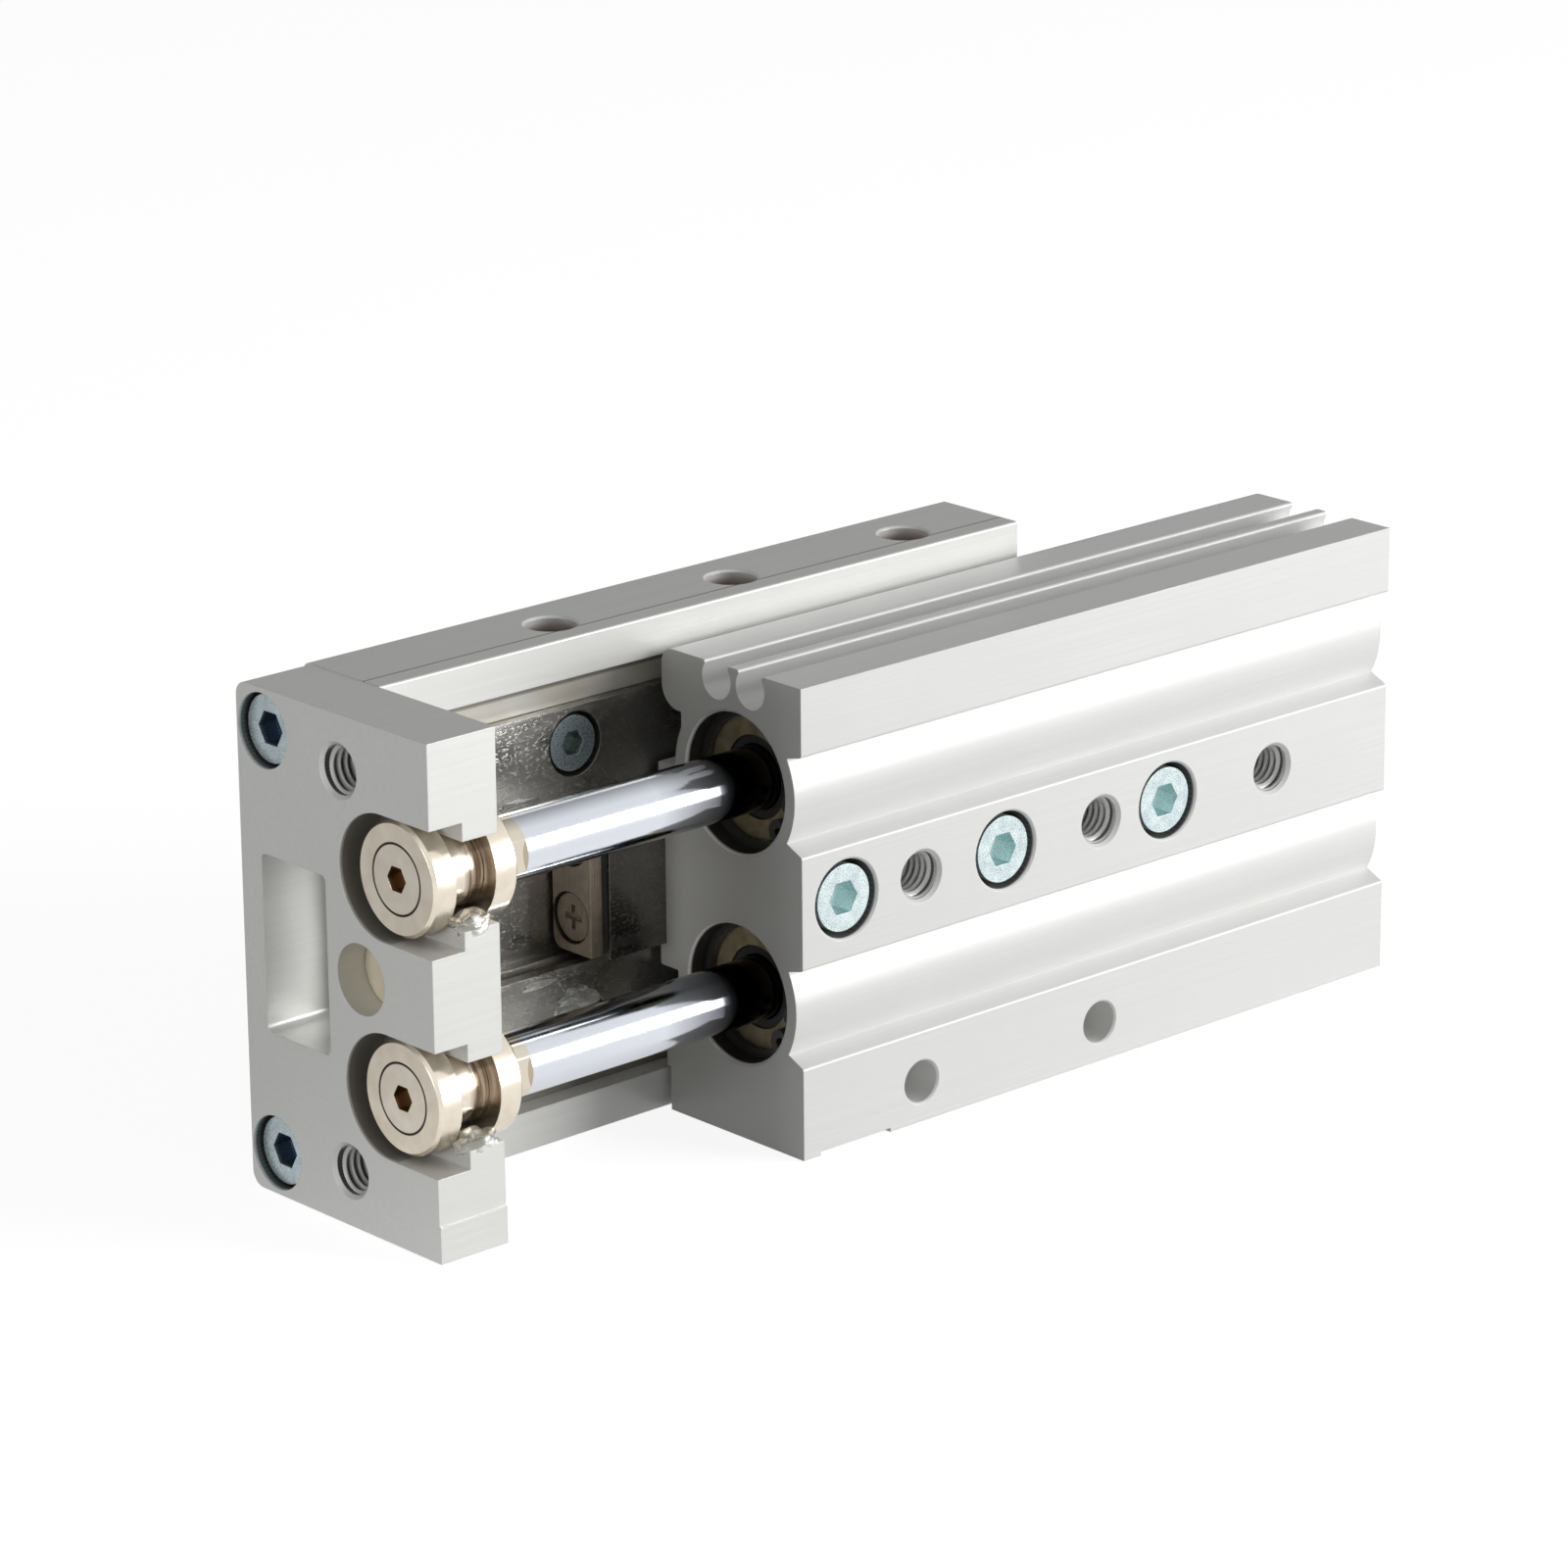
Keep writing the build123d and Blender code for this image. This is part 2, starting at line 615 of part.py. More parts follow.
with BuildPart() as table_rail:
    with BuildSketch(across(rail_front)):
        with Locations(((rail_face + rail_back) / 2, guide_line)):
            Rectangle(rail_thickness, 2 * rail_half)
        with Locations(((rail_face + rail_channel_floor) / 2, guide_line)):
            Rectangle(rail_channel_floor - rail_face, 2 * rail_channel_half, mode=Mode.SUBTRACT)
        with Locations(*races):
            Circle(race_r, mode=Mode.SUBTRACT)
    extrude(amount=rail_length)
    outer = table_rail.edges().filter_by(Axis.Y)
    outer = outer.filter_by(lambda e: abs(abs(e.center().Z - guide_line) - rail_half) < 0.01)
    chamfer(outer, rail_corner)
    with Locations(facing(rail_face)):
        with Locations(*rail_screws):
            pocket_r = rail_screw_pocket_d / 2
            CounterBoreHole(m4["clear"] / 2, pocket_r, rail_screw_pocket_depth, depth=rail_thickness)
finish(table_rail, "table_rail")

with BuildPart() as table_rail_screws:
    rail_screw_seat = rail_face + rail_screw_pocket_depth
    with BuildSketch(facing(rail_screw_seat)):
        with Locations(*rail_screws):
            Circle(m4["head"] / 2)
    extrude(amount=m4["height"])
    with BuildSketch(facing(rail_screw_seat)):
        with Locations(*rail_screws):
            Circle(m4["shank"] / 2)
    extrude(amount=-(rail_screw_tip - rail_screw_seat))
    with BuildSketch(facing(rail_screw_seat - m4["height"])):
        with Locations(*rail_screws):
            RegularPolygon(m4["flats"] * hex_corner, 6)
    extrude(amount=-m4["socket"], mode=Mode.SUBTRACT)
finish(table_rail_screws, "table_rail_screws")

# End plate with two stepped slots for the floating bushes and a window that clears the guide block
plate_round = 1.9
window_room = 0.9
window_top = 3.9
window_half = 11.2
window_round = 0.8
pocket_width = 15.6
pocket_depth = 4.9
pocket_above_bore = 1.4
slot_width = 11.0
stopper_hole_d = 8.8
stopper_below_window = 6.2
stopper_depth = 6.0
plate_tap_drop = 19.0
plate_tap_wall = 0.05
plate_tap_depth = 9.0
foot_step = 0.25
foot_step_width = 4.6

window_low = seat_height - window_room
window_high = overall_height - window_top
pocket_centre = bore_height + pocket_above_bore
stopper_height = window_low - stopper_below_window
plate_tap_offset = (bore_pitch + pocket_width + m6_mouth) / 2 + plate_tap_wall
plate_taps = [(overall_height - plate_tap_drop, guide_line + j * plate_tap_offset) for j in (-1, 1)]

with BuildPart() as end_plate:
    with BuildSketch(across(plate_front)) as section:
        with Locations(((plate_underside + overall_height) / 2, guide_line)):
            Rectangle(overall_height - plate_underside, 2 * plate_half)
        fillet(section.vertices().group_by(Axis.X)[-1], plate_round)
        with Locations((plate_underside, guide_line + foot_step_width / 2)):
            Rectangle(2 * foot_step, 2 * plate_half - foot_step_width, mode=Mode.SUBTRACT)
        with Locations(((window_low + window_high) / 2, guide_line)):
            RectangleRounded(window_high - window_low, 2 * window_half, window_round, mode=Mode.SUBTRACT)
        with Locations((stopper_height, guide_line)):
            Circle(stopper_hole_d / 2, mode=Mode.SUBTRACT)
        with Locations(*bores):
            Circle(slot_width / 2, mode=Mode.SUBTRACT)
        with Locations(*[(bore_height / 2, bore_z[side]) for side in sides]):
            Rectangle(bore_height, slot_width, mode=Mode.SUBTRACT)
    extrude(amount=plate_thickness)
    with BuildSketch(across(plate_front)):
        with Locations(*[(pocket_centre, bore_z[side]) for side in sides]):
            Circle(pocket_width / 2)
        with Locations(*[(pocket_centre / 2, bore_z[side]) for side in sides]):
            Rectangle(pocket_centre, pocket_width)
    extrude(amount=pocket_depth, mode=Mode.SUBTRACT)
    with BuildSketch(across(plate_front)):
        with Locations(*plate_screws):
            Circle(plate_screw_pocket_d / 2)
    extrude(amount=plate_screw_pocket_depth, mode=Mode.SUBTRACT)
    with BuildSketch(across(plate_front)):
        with Locations(*plate_screws):
            Circle(m5["clear"] / 2)
    extrude(amount=plate_thickness, mode=Mode.SUBTRACT)
    with BuildSketch(across(plate_front)):
        with Locations(*plate_taps):
            Circle(m6_thread / 2)
    extrude(amount=plate_tap_depth, mode=Mode.SUBTRACT)
    rims = end_plate.edges().filter_by(GeomType.CIRCLE).group_by(Axis.X)[0]
    chamfer(rims.filter_by(lambda e: abs(e.radius - m6_thread / 2) < 0.01), tap_mouth)
finish(end_plate, "end_plate")

with BuildPart() as end_plate_screws:
    with BuildSketch(across(plate_front + plate_screw_pocket_depth)):
        with Locations(*plate_screws):
            Circle(m5["head"] / 2)
    extrude(amount=-m5["height"])
    with BuildSketch(across(plate_front + plate_screw_pocket_depth)):
        with Locations(*plate_screws):
            Circle(m5["shank"] / 2)
    extrude(amount=plate_thickness - plate_screw_pocket_depth + plate_screw_reach)
    with BuildSketch(across(plate_front + plate_screw_pocket_depth - m5["height"])):
        with Locations(*plate_screws):
            RegularPolygon(m5["flats"] * hex_corner, 6)
    extrude(amount=m5["socket"], mode=Mode.SUBTRACT)
finish(end_plate_screws, "end_plate_screws")

with BuildPart() as end_stopper:
    with BuildSketch(across(plate_back - stopper_depth)):
        with Locations((stopper_height, guide_line)):
            Circle(stopper_hole_d / 2 - slip)
    extrude(amount=stopper_depth + closed_gap - loose)
finish(end_stopper, "end_stopper")

# Rods, pistons and the floating bushes that join the rods to the end plate
disc_d = 14.2
disc_sink = 1.1
disc_thickness = 3.2
neck_d = 9.8
collar_d = 14.2
collar_thickness = 3.5
turned_edge = 0.4
flats_length = 4.0
flats_across = 7.0
bush_screw_head = 8.5
bush_screw_head_gap = 0.15
bush_screw_head_depth = 2.6
bush_screw_shank = 5.0
bush_screw_reach = 9.0
bush_hex = 3.0
bush_hex_depth = 2.4
piston_length = 18.0
piston_seal_from = 3.0
piston_seal_width = 3.0
piston_seal_wall = 2.0
magnet_from = 10.0
magnet_width = 4.0
magnet_wall = 2.4
magnet_sink = 0.1
rod_tail_d = 6.0

disc_front = plate_front + disc_sink
disc_back = disc_front + disc_thickness
piston_start = cover_end + bumper_thickness + slip
piston_r = bore_d / 2 - slip
piston_end = piston_start + piston_length
collar_front = plate_back + slip
collar_back = collar_front + collar_thickness

for side in sides:
    plane = through_bore(side)
    axis = bore_axis(side)
    with BuildPart() as rod:
        with BuildSketch(plane):
            points = [(collar_front, 0), (collar_front, rod_d / 2), (piston_start, rod_d / 2)]
            points += [(piston_start, rod_tail_d / 2), (piston_end, rod_tail_d / 2), (piston_end, 0)]
            with BuildLine():
                Polyline(*points, close=True)
            make_face()
        revolve(axis=axis)
        with BuildSketch(across(collar_back)):
            for i in (-1, 1):
                with Locations((bore_height + i * (flats_across + rod_d) / 2, bore_z[side])):
                    Rectangle(rod_d, rod_d)
        extrude(amount=flats_length, mode=Mode.SUBTRACT)
        with BuildSketch(across(collar_front)):
            with Locations((bore_height, bore_z[side])):
                Circle(bush_screw_shank / 2 + slip)
        extrude(amount=bush_screw_reach + screw_tip_room, mode=Mode.SUBTRACT)
    finish(rod, "rod_" + side)

    with BuildPart() as bush:
        with BuildSketch(plane):
            bore_r = bush_screw_shank / 2 + slip
            head_bore_r = bush_screw_head / 2 + bush_screw_head_gap
            points = [(disc_front, head_bore_r), (disc_front, disc_d / 2 - turned_edge)]
            points += [(disc_front + turned_edge, disc_d / 2), (disc_back, disc_d / 2), (disc_back, neck_d / 2)]
            points += [(plate_back, neck_d / 2), (plate_back, bore_r)]
            points += [(disc_front + bush_screw_head_depth, bore_r)]
            points += [(disc_front + bush_screw_head_depth, head_bore_r)]
            with BuildLine():
                Polyline(*points, close=True)
            make_face()
        revolve(axis=axis)
    finish(bush, "float_bush_" + side)

    with BuildPart() as collar:
        with BuildSketch(plane):
            points = [(collar_front, rod_d / 2 + slip), (collar_front, collar_d / 2)]
            points += [(collar_back - turned_edge, collar_d / 2), (collar_back, collar_d / 2 - turned_edge)]
            points += [(collar_back, rod_d / 2 + slip)]
            with BuildLine():
                Polyline(*points, close=True)
            make_face()
        revolve(axis=axis)
    finish(collar, "rod_collar_" + side)

    with BuildPart() as bush_screw:
        with BuildSketch(plane):
            head_back = disc_front + bush_screw_head_depth
            points = [(disc_front, 0), (disc_front, bush_screw_head / 2), (head_back, bush_screw_head / 2)]
            screw_end = collar_front + bush_screw_reach
            points += [(head_back, bush_screw_shank / 2), (screw_end, bush_screw_shank / 2), (screw_end, 0)]
            with BuildLine():
                Polyline(*points, close=True)
            make_face()
        revolve(axis=axis)
        with BuildSketch(across(disc_front)):
            with Locations((bore_height, bore_z[side])):
                RegularPolygon(bush_hex * hex_corner, 6)
        extrude(amount=bush_hex_depth, mode=Mode.SUBTRACT)
    finish(bush_screw, "bush_screw_" + side)

    with BuildPart() as piston:
        with BuildSketch(plane):
            seal_start = piston_start + piston_seal_from
            magnet_start = piston_start + magnet_from
            seal_floor = bore_d / 2 - piston_seal_wall
            magnet_floor = bore_d / 2 - magnet_wall
            points = [(piston_start, rod_tail_d / 2 + slip), (piston_start, piston_r), (seal_start, piston_r)]
            points += [(seal_start, seal_floor), (seal_start + piston_seal_width, seal_floor)]
            points += [(seal_start + piston_seal_width, piston_r), (magnet_start, piston_r)]
            points += [(magnet_start, magnet_floor), (magnet_start + magnet_width, magnet_floor)]
            points += [(magnet_start + magnet_width, piston_r), (piston_end, piston_r)]
            points += [(piston_end, rod_tail_d / 2 + slip)]
            with BuildLine():
                Polyline(*points, close=True)
            make_face()
        revolve(axis=axis)
    finish(piston, "piston_" + side)

    for name, ring_from, floor, width, top in (
            ("piston_seal_", seal_start, seal_floor, piston_seal_width, piston_r + slip / 2),
            ("magnet_", magnet_start, magnet_floor, magnet_width, piston_r - magnet_sink)):
        with BuildPart() as ring:
            with BuildSketch(across(ring_from + slip)):
                with Locations((bore_height, bore_z[side])):
                    Circle(top)
                    Circle(floor + slip, mode=Mode.SUBTRACT)
            extrude(amount=width - 2 * slip)
        finish(ring, name + side)
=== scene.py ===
import bpy
import json
from math import cos, pi, radians, sin
from mathutils import Matrix, Vector, noise


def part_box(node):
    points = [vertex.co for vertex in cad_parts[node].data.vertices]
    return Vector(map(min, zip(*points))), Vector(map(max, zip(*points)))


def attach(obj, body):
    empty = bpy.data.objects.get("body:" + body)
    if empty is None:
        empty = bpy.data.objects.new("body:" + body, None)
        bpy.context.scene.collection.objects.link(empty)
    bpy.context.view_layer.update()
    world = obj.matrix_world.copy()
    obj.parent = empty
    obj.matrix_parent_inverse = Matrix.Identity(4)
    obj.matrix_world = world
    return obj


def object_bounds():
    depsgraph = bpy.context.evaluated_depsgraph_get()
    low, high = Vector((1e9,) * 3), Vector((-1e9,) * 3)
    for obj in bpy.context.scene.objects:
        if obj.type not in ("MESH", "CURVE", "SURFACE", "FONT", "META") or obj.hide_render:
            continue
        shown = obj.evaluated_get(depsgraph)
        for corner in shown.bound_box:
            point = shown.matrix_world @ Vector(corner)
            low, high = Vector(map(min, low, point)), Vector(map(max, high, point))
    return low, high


MM = 0.001
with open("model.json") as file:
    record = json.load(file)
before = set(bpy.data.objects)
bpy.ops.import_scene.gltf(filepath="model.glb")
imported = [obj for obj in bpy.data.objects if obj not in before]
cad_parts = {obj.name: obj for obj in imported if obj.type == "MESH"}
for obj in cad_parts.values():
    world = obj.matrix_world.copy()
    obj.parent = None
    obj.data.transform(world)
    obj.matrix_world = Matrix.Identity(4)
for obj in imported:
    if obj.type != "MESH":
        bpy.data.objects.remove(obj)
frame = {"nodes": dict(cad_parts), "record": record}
start_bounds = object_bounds()

# Places read from the frame, metres
GUIDE_Z = sum(p.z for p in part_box("guide_block")) / 2
BORE_Y = sum(p.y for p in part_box("rod_upper")) / 2
BORE_Z = {side: sum(p.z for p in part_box("rod_" + side)) / 2 for side in ("upper", "lower")}
FACE_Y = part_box("cylinder_body")[0].y
BODY_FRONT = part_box("cylinder_body")[0].x
PLATE_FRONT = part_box("end_plate")[0].x
TABLE_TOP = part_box("table")[1]
PLATE_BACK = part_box("end_plate")[1].x
RAIL_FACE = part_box("table_rail")[0].y
MOUNTS = {m["name"]: m for m in frame["record"]["mounts"]}

# Threads, metres
TAP_RADIUS = 3.0 * MM
BODY_TAP_DEPTH = 11 * MM
PLATE_TAP_DEPTH = 8 * MM
TABLE_TAP_DEPTH = 8.5 * MM
THREAD_PITCH = 1.0 * MM
THREAD_RISE = 0.52 * MM
THREAD_START = 0.6 * MM
THREAD_STEPS = 36

# Other small sizes, metres
EDGE_BLUR = 0.05 * MM
COUNTERBORE_RADIUS = 5.02 * MM
POCKET_RADIUS = 4.68 * MM
SLOT_RADIUS = 7.9 * MM
BORE_MOUTH_RADIUS = 9.0 * MM
LEDGE_HEIGHT = 28.5 * MM

# Light and surroundings
WORLD_SOFT = 0.24
WORLD_BEHIND = 0.4
FLOOR_BEHIND = 0.5
FLOOR_GLOW = 0.85
FLOOR_GREY = 0.42
FLOOR_REACH = 6.0
KEY_PLACE = (0.62, -0.82, 0.2)
KEY_SIZE = 0.6
KEY_POWER = 10.4
SIDE_PLACE = (-1.0, 0.12, 0.07)
SIDE_SIZE = 0.3
SIDE_POWER = 2.3

# The photograph's camera
CAMERA_PLACE = (BODY_FRONT - 0.4760, FACE_Y - 0.5243, 0.2771)
CAMERA_AZIMUTH = radians(-42.07)
CAMERA_ELEVATION = radians(17.91)
CAMERA_ROLL = radians(-0.50)
CAMERA_LENS = 143.3


def mouths():
    """Tapped holes from the record's bolt patterns: name, mouth, direction in, depth, body."""
    found = []
    row = MOUNTS["body_taps_outer"]
    pitch = row["dims"]["spacing_x_mm"] * MM
    for i in (-1, 0, 1):
        mouth = (row["pos_m"][0] + i * pitch / 2, FACE_Y, GUIDE_Z)
        found.append(("body_thread", mouth, (0, 1, 0), BODY_TAP_DEPTH, "cylinder"))
    plate = MOUNTS["end_plate_taps"]
    across = plate["dims"]["spacing_y_mm"] * MM / 2
    for i in (-1, 1):
        mouth = (PLATE_FRONT, plate["pos_m"][1], GUIDE_Z + i * across)
        found.append(("plate_thread", mouth, (1, 0, 0), PLATE_TAP_DEPTH, "slide_table"))
    table = MOUNTS["table_taps_outer"]
    across = table["dims"]["spacing_y_mm"] * MM / 2
    along = table["dims"]["spacing_x_mm"] * MM / 2
    for i in (-1, 0, 1):
        for j in (-1, 1):
            mouth = (table["pos_m"][0] + i * along, TABLE_TOP.y, GUIDE_Z + j * across)
            found.append(("table_thread", mouth, (0, -1, 0), TABLE_TAP_DEPTH, "slide_table"))
    return found


# Materials

def rgb(hexa):
    """An sRGB colour written as six hexadecimal digits, as linear values."""
    parts = [int(hexa[i:i + 2], 16) / 255 for i in (0, 2, 4)]
    return [c / 12.92 if c <= 0.04045 else ((c + 0.055) / 1.055) ** 2.4 for c in parts]


class Surface:
    """A node material: a Principled shader whose colour, roughness and bump come from layers of noise."""

    def __init__(self, name, color, metallic, roughness, edge=0.0):
        self.material = bpy.data.materials.new(name)
        self.material.use_nodes = True
        self.tree = self.material.node_tree
        self.shader = self.tree.nodes["Principled BSDF"]
        self.set("Metallic", metallic)
        self.set("Roughness", roughness)
        self.set("Base Color", (*color, 1))
        self.place = self.add("ShaderNodeTexCoord").outputs["Object"]
        self.axes = self.add("ShaderNodeSeparateXYZ", {"Vector": self.place}).outputs
        self.color = None
        self.base = (*color, 1)
        self.height = None
        if edge:
            self.height = self.add("ShaderNodeBevel", {"Radius": edge}, samples=4).outputs["Normal"]
            self.set("Normal", self.height)

    def add(self, kind, inputs=None, **settings):
        node = self.tree.nodes.new(kind)
        for key, value in settings.items():
            setattr(node, key, value)
        for key, value in (inputs or {}).items():
            if isinstance(value, bpy.types.NodeSocket):
                self.tree.links.new(value, node.inputs[key])
            else:
                node.inputs[key].default_value = value
        return node

    def set(self, name, value):
        if isinstance(value, bpy.types.NodeSocket):
            self.tree.links.new(value, self.shader.inputs[name])
        else:
            self.shader.inputs[name].default_value = value

    def math(self, operation, a, b=0.0):
        return self.add("ShaderNodeMath", {0: a, 1: b}, operation=operation).outputs[0]

    def noise(self, grain, detail=3.0, low=0.35, high=0.65):
        """Noise from 0 to 1 whose grains have that size along X, Y and Z."""
        scale = [1 / g for g in grain]
        spot = self.add("ShaderNodeMapping", {"Vector": self.place, "Scale": scale}).outputs["Vector"]
        raw = self.add("ShaderNodeTexNoise", {"Vector": spot, "Scale": 1.0, "Detail": detail}).outputs["Fac"]
        limits = {"Value": raw, "From Min": low, "From Max": high}
        return self.add("ShaderNodeMapRange", limits).outputs["Result"]

    def tint(self, factor, color, strength=1.0):
        """Mixes a colour in where factor is 1."""
        under = self.color or self.base
        amount = self.math("MULTIPLY", factor, strength)
        mix = self.add("ShaderNodeMix", data_type="RGBA")
        for socket, value in ((mix.inputs[0], amount), (mix.inputs[6], under), (mix.inputs[7], (*color, 1))):
            if isinstance(value, bpy.types.NodeSocket):
                self.tree.links.new(value, socket)
            else:
                socket.default_value = value
        self.color = mix.outputs[2]
        self.set("Base Color", self.color)
        return self

    def ramp(self, value, zero_at, one_at):
        """0 to 1 while the value goes from one number to the other."""
        limits = {"Value": value, "From Min": zero_at, "From Max": one_at}
        return self.add("ShaderNodeMapRange", limits).outputs["Result"]

    def both(self, *factors):
        """The product of several factors."""
        result = factors[0]
        for factor in factors[1:]:
            result = self.math("MULTIPLY", result, factor)
        return result

    def apart(self, value, at):
        """How far a value is from a number, whichever way."""
        return self.math("ABSOLUTE", self.math("SUBTRACT", value, at))

    def reach(self, axes, centre, mirrored=False):
        """Distance from an axis, given by two coordinates; mirrored also takes its twin across the guide line."""
        offsets = [self.math("SUBTRACT", self.axes[axis], at) for axis, at in zip(axes, centre)]
        if mirrored:
            from_line = self.apart(self.axes[axes[1]], GUIDE_Z)
            offsets[1] = self.math("SUBTRACT", from_line, abs(centre[1] - GUIDE_Z))
        squares = [self.math("MULTIPLY", offset, offset) for offset in offsets]
        return self.math("SQRT", self.math("ADD", *squares))

    def inside(self, axes, centre, radius, mirrored=False):
        """1 within that radius of such an axis."""
        return self.ramp(self.reach(axes, centre, mirrored), radius + EDGE_BLUR, radius - EDGE_BLUR)

    def paint_tap_shade(self, kind, axes, sunk, mirrored=False):
        """Paints shade on the walls of the tapped holes of that name, where sunk is 1."""
        for name, mouth, inward, depth, body in mouths():
            centre = [mouth["XYZ".index(axis)] for axis in axes]
            if name == kind and (centre[1] > GUIDE_Z or not mirrored):
                hole = self.inside(axes, centre, TAP_RADIUS + 0.03 * MM, mirrored)
                # Painted shade: the tap walls are coloured near black.
                self.tint(self.both(hole, sunk), rgb("2b2a29"))

    def rough(self, factor, low, high):
        limits = {"Value": factor, "To Min": low, "To Max": high}
        self.set("Roughness", self.add("ShaderNodeMapRange", limits).outputs["Result"])
        return self

    def bump(self, factor, depth):
        """Raises the surface by that depth, in metres, where factor is 1."""
        inputs = {"Height": factor, "Distance": depth, "Strength": 1.0}
        if self.height:
            inputs["Normal"] = self.height
        self.height = self.add("ShaderNodeBump", inputs).outputs["Normal"]
        self.set("Normal", self.height)
        return self

    def radius(self):
        """Distance from the axis of the nearer bore."""
        return self.reach("YZ", (BORE_Y, BORE_Z["upper"]), mirrored=True)


def anodised(name, color, streak, metallic=0.22):
    """Clear anodised aluminium: satin, with faint lines along the extrusion and cloudy patches."""
    skin = Surface(name, color, metallic, 0.36, 0.14 * MM)
    lines = skin.noise((60 * MM, streak, streak))
    grains = skin.noise((0.16 * MM,) * 3, 2.0)
    clouds = skin.noise((14 * MM,) * 3, 2.0)
    skin.tint(lines, [c * 0.96 for c in color])
    skin.tint(clouds, [c * 0.96 for c in color], 0.6)
    skin.rough(grains, 0.33, 0.45)
    return skin.bump(lines, 0.004 * MM).bump(grains, 0.003 * MM)


def screw_places(node, axis):
    """The middles of a row of equal screws along one axis, worked out from the mesh's own corners."""
    mesh = frame["nodes"][node]
    values = sorted({round(getattr(mesh.matrix_world @ v.co, axis), 5) for v in mesh.data.vertices})
    groups = [[values[0]]]
    for value in values[1:]:
        if value - groups[-1][-1] > 3 * MM:
            groups.append([])
        groups[-1].append(value)
    return [(group[0] + group[-1]) / 2 for group in groups]


def first_screw(node):
    """The middle, as Y and Z, of the screw nearest the top in a node of equal screws."""
    low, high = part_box(node)
    return (low.y + high.y) / 2, high.z - (high.y - low.y) / 2


def body_skin():
    """The body's aluminium, with painted shade inside the bores, the taps and the pockets round the screws, and
    on its front end face.
    """
    skin = anodised("body_aluminium", rgb("ededeb"), 0.35 * MM, 0.08)
    inside = skin.ramp(skin.radius(), BORE_MOUTH_RADIUS + EDGE_BLUR, BORE_MOUTH_RADIUS - EDGE_BLUR)
    deep = skin.ramp(skin.axes["X"], BODY_FRONT + 0.4 * MM, BODY_FRONT + 0.6 * MM)
    # Painted shade: the body's front end face is coloured darker than the rest of the body.
    skin.tint(skin.ramp(skin.axes["X"], BODY_FRONT + 0.06 * MM, BODY_FRONT + 0.03 * MM), rgb("c2c2c0"))
    sunk = skin.ramp(skin.axes["Y"], FACE_Y + 0.3 * MM, FACE_Y + 0.6 * MM)
    # Painted shade in the counterbores round the guide block screws, below the face.
    for x in screw_places("guide_block_screws", "x"):
        skin.tint(skin.both(skin.inside("XZ", (x, GUIDE_Z), COUNTERBORE_RADIUS), sunk), rgb("3a3a3a"))
    skin.paint_tap_shade("body_thread", "XZ", sunk)
    # Painted shade: the bore walls behind the mouth are coloured near black.
    return skin.tint(skin.both(inside, deep), rgb("2e2a26"))


def plate_skin():
    """The end plate's aluminium, with painted shade in its taps, its screw pockets and its slots."""
    skin = anodised("plate_aluminium", rgb("e6e6e3"), 0.6 * MM, 0.35)
    sunk = skin.ramp(skin.axes["X"], PLATE_FRONT + 0.2 * MM, PLATE_FRONT + 0.5 * MM)
    # Painted shade in the pockets of the end plate screws.
    pocket = skin.inside("YZ", first_screw("end_plate_screws"), POCKET_RADIUS, mirrored=True)
    skin.tint(skin.both(pocket, sunk), rgb("2c2d30"))
    skin.paint_tap_shade("plate_thread", "YZ", sunk)
    # Painted shade in the slots round the bushes, darker further from the mounting face.
    slot = skin.inside("YZ", (BORE_Y + 1.4 * MM, BORE_Z["upper"]), SLOT_RADIUS, mirrored=True)
    shade = skin.ramp(skin.axes["Y"], FACE_Y + 9 * MM, FACE_Y + 14 * MM)
    return skin.tint(skin.both(slot, sunk, shade), rgb("7d7973"), 0.85)


def table_skin():
    """The table's aluminium: coppery at the bottom of its side holes, with painted shade in its taps, and a
    painted reflection and a painted shadow line on its ledges.
    """
    skin = anodised("table_aluminium", rgb("e4e4e1"), 0.6 * MM)
    row = MOUNTS["table_side_holes_outer"]
    pitch = row["dims"]["spacing_x_mm"] * MM / 2
    from_hole = skin.math("PINGPONG", skin.math("SUBTRACT", skin.axes["X"], row["pos_m"][0]), pitch / 2)
    near_x = skin.ramp(from_hole, 3.5 * MM, 3.3 * MM)
    near_y = skin.ramp(skin.apart(skin.axes["Y"], row["pos_m"][1]), 3.5 * MM, 3.3 * MM)
    deep = skin.ramp(skin.axes["Z"], TABLE_TOP.z - 0.8 * MM, TABLE_TOP.z - 2.4 * MM)
    above_ledge = skin.ramp(skin.axes["Z"], TABLE_TOP.z - 5.07 * MM, TABLE_TOP.z - 5.03 * MM)
    skin.tint(skin.both(near_x, near_y, deep, above_ledge), rgb("8a5a48"))
    # Painted shade on the walls of the taps, down to their depth.
    sunk = skin.both(skin.ramp(skin.axes["Y"], TABLE_TOP.y - 0.3 * MM, TABLE_TOP.y - 0.6 * MM),
                     skin.ramp(skin.axes["Y"], TABLE_TOP.y - 10.4 * MM, TABLE_TOP.y - 10.2 * MM))
    skin.paint_tap_shade("table_thread", "XZ", sunk, mirrored=True)
    # The ledges beside the rail, in from the table's sides: a painted beige reflection in patches, and a painted
    # shadow line along their outer edges
    off_line = skin.apart(skin.axes["Z"], GUIDE_Z)
    ledge = skin.ramp(skin.apart(skin.axes["Y"], FACE_Y + LEDGE_HEIGHT), 0.2 * MM, 0.1 * MM)
    painted_reflection_mottle = skin.noise((6 * MM, 3 * MM, 3 * MM), 4.0)
    skin.tint(skin.both(ledge, skin.ramp(painted_reflection_mottle, -0.8, 1.0)), rgb("cbc4b4"), 0.8)
    # Painted shadow: a dark line along the outer edge of each ledge.
    corner = skin.ramp(off_line, TABLE_TOP.z - GUIDE_Z - 6.9 * MM, TABLE_TOP.z - GUIDE_Z - 6.6 * MM)
    return skin.tint(skin.both(ledge, corner), rgb("6f6b62"), 0.8)


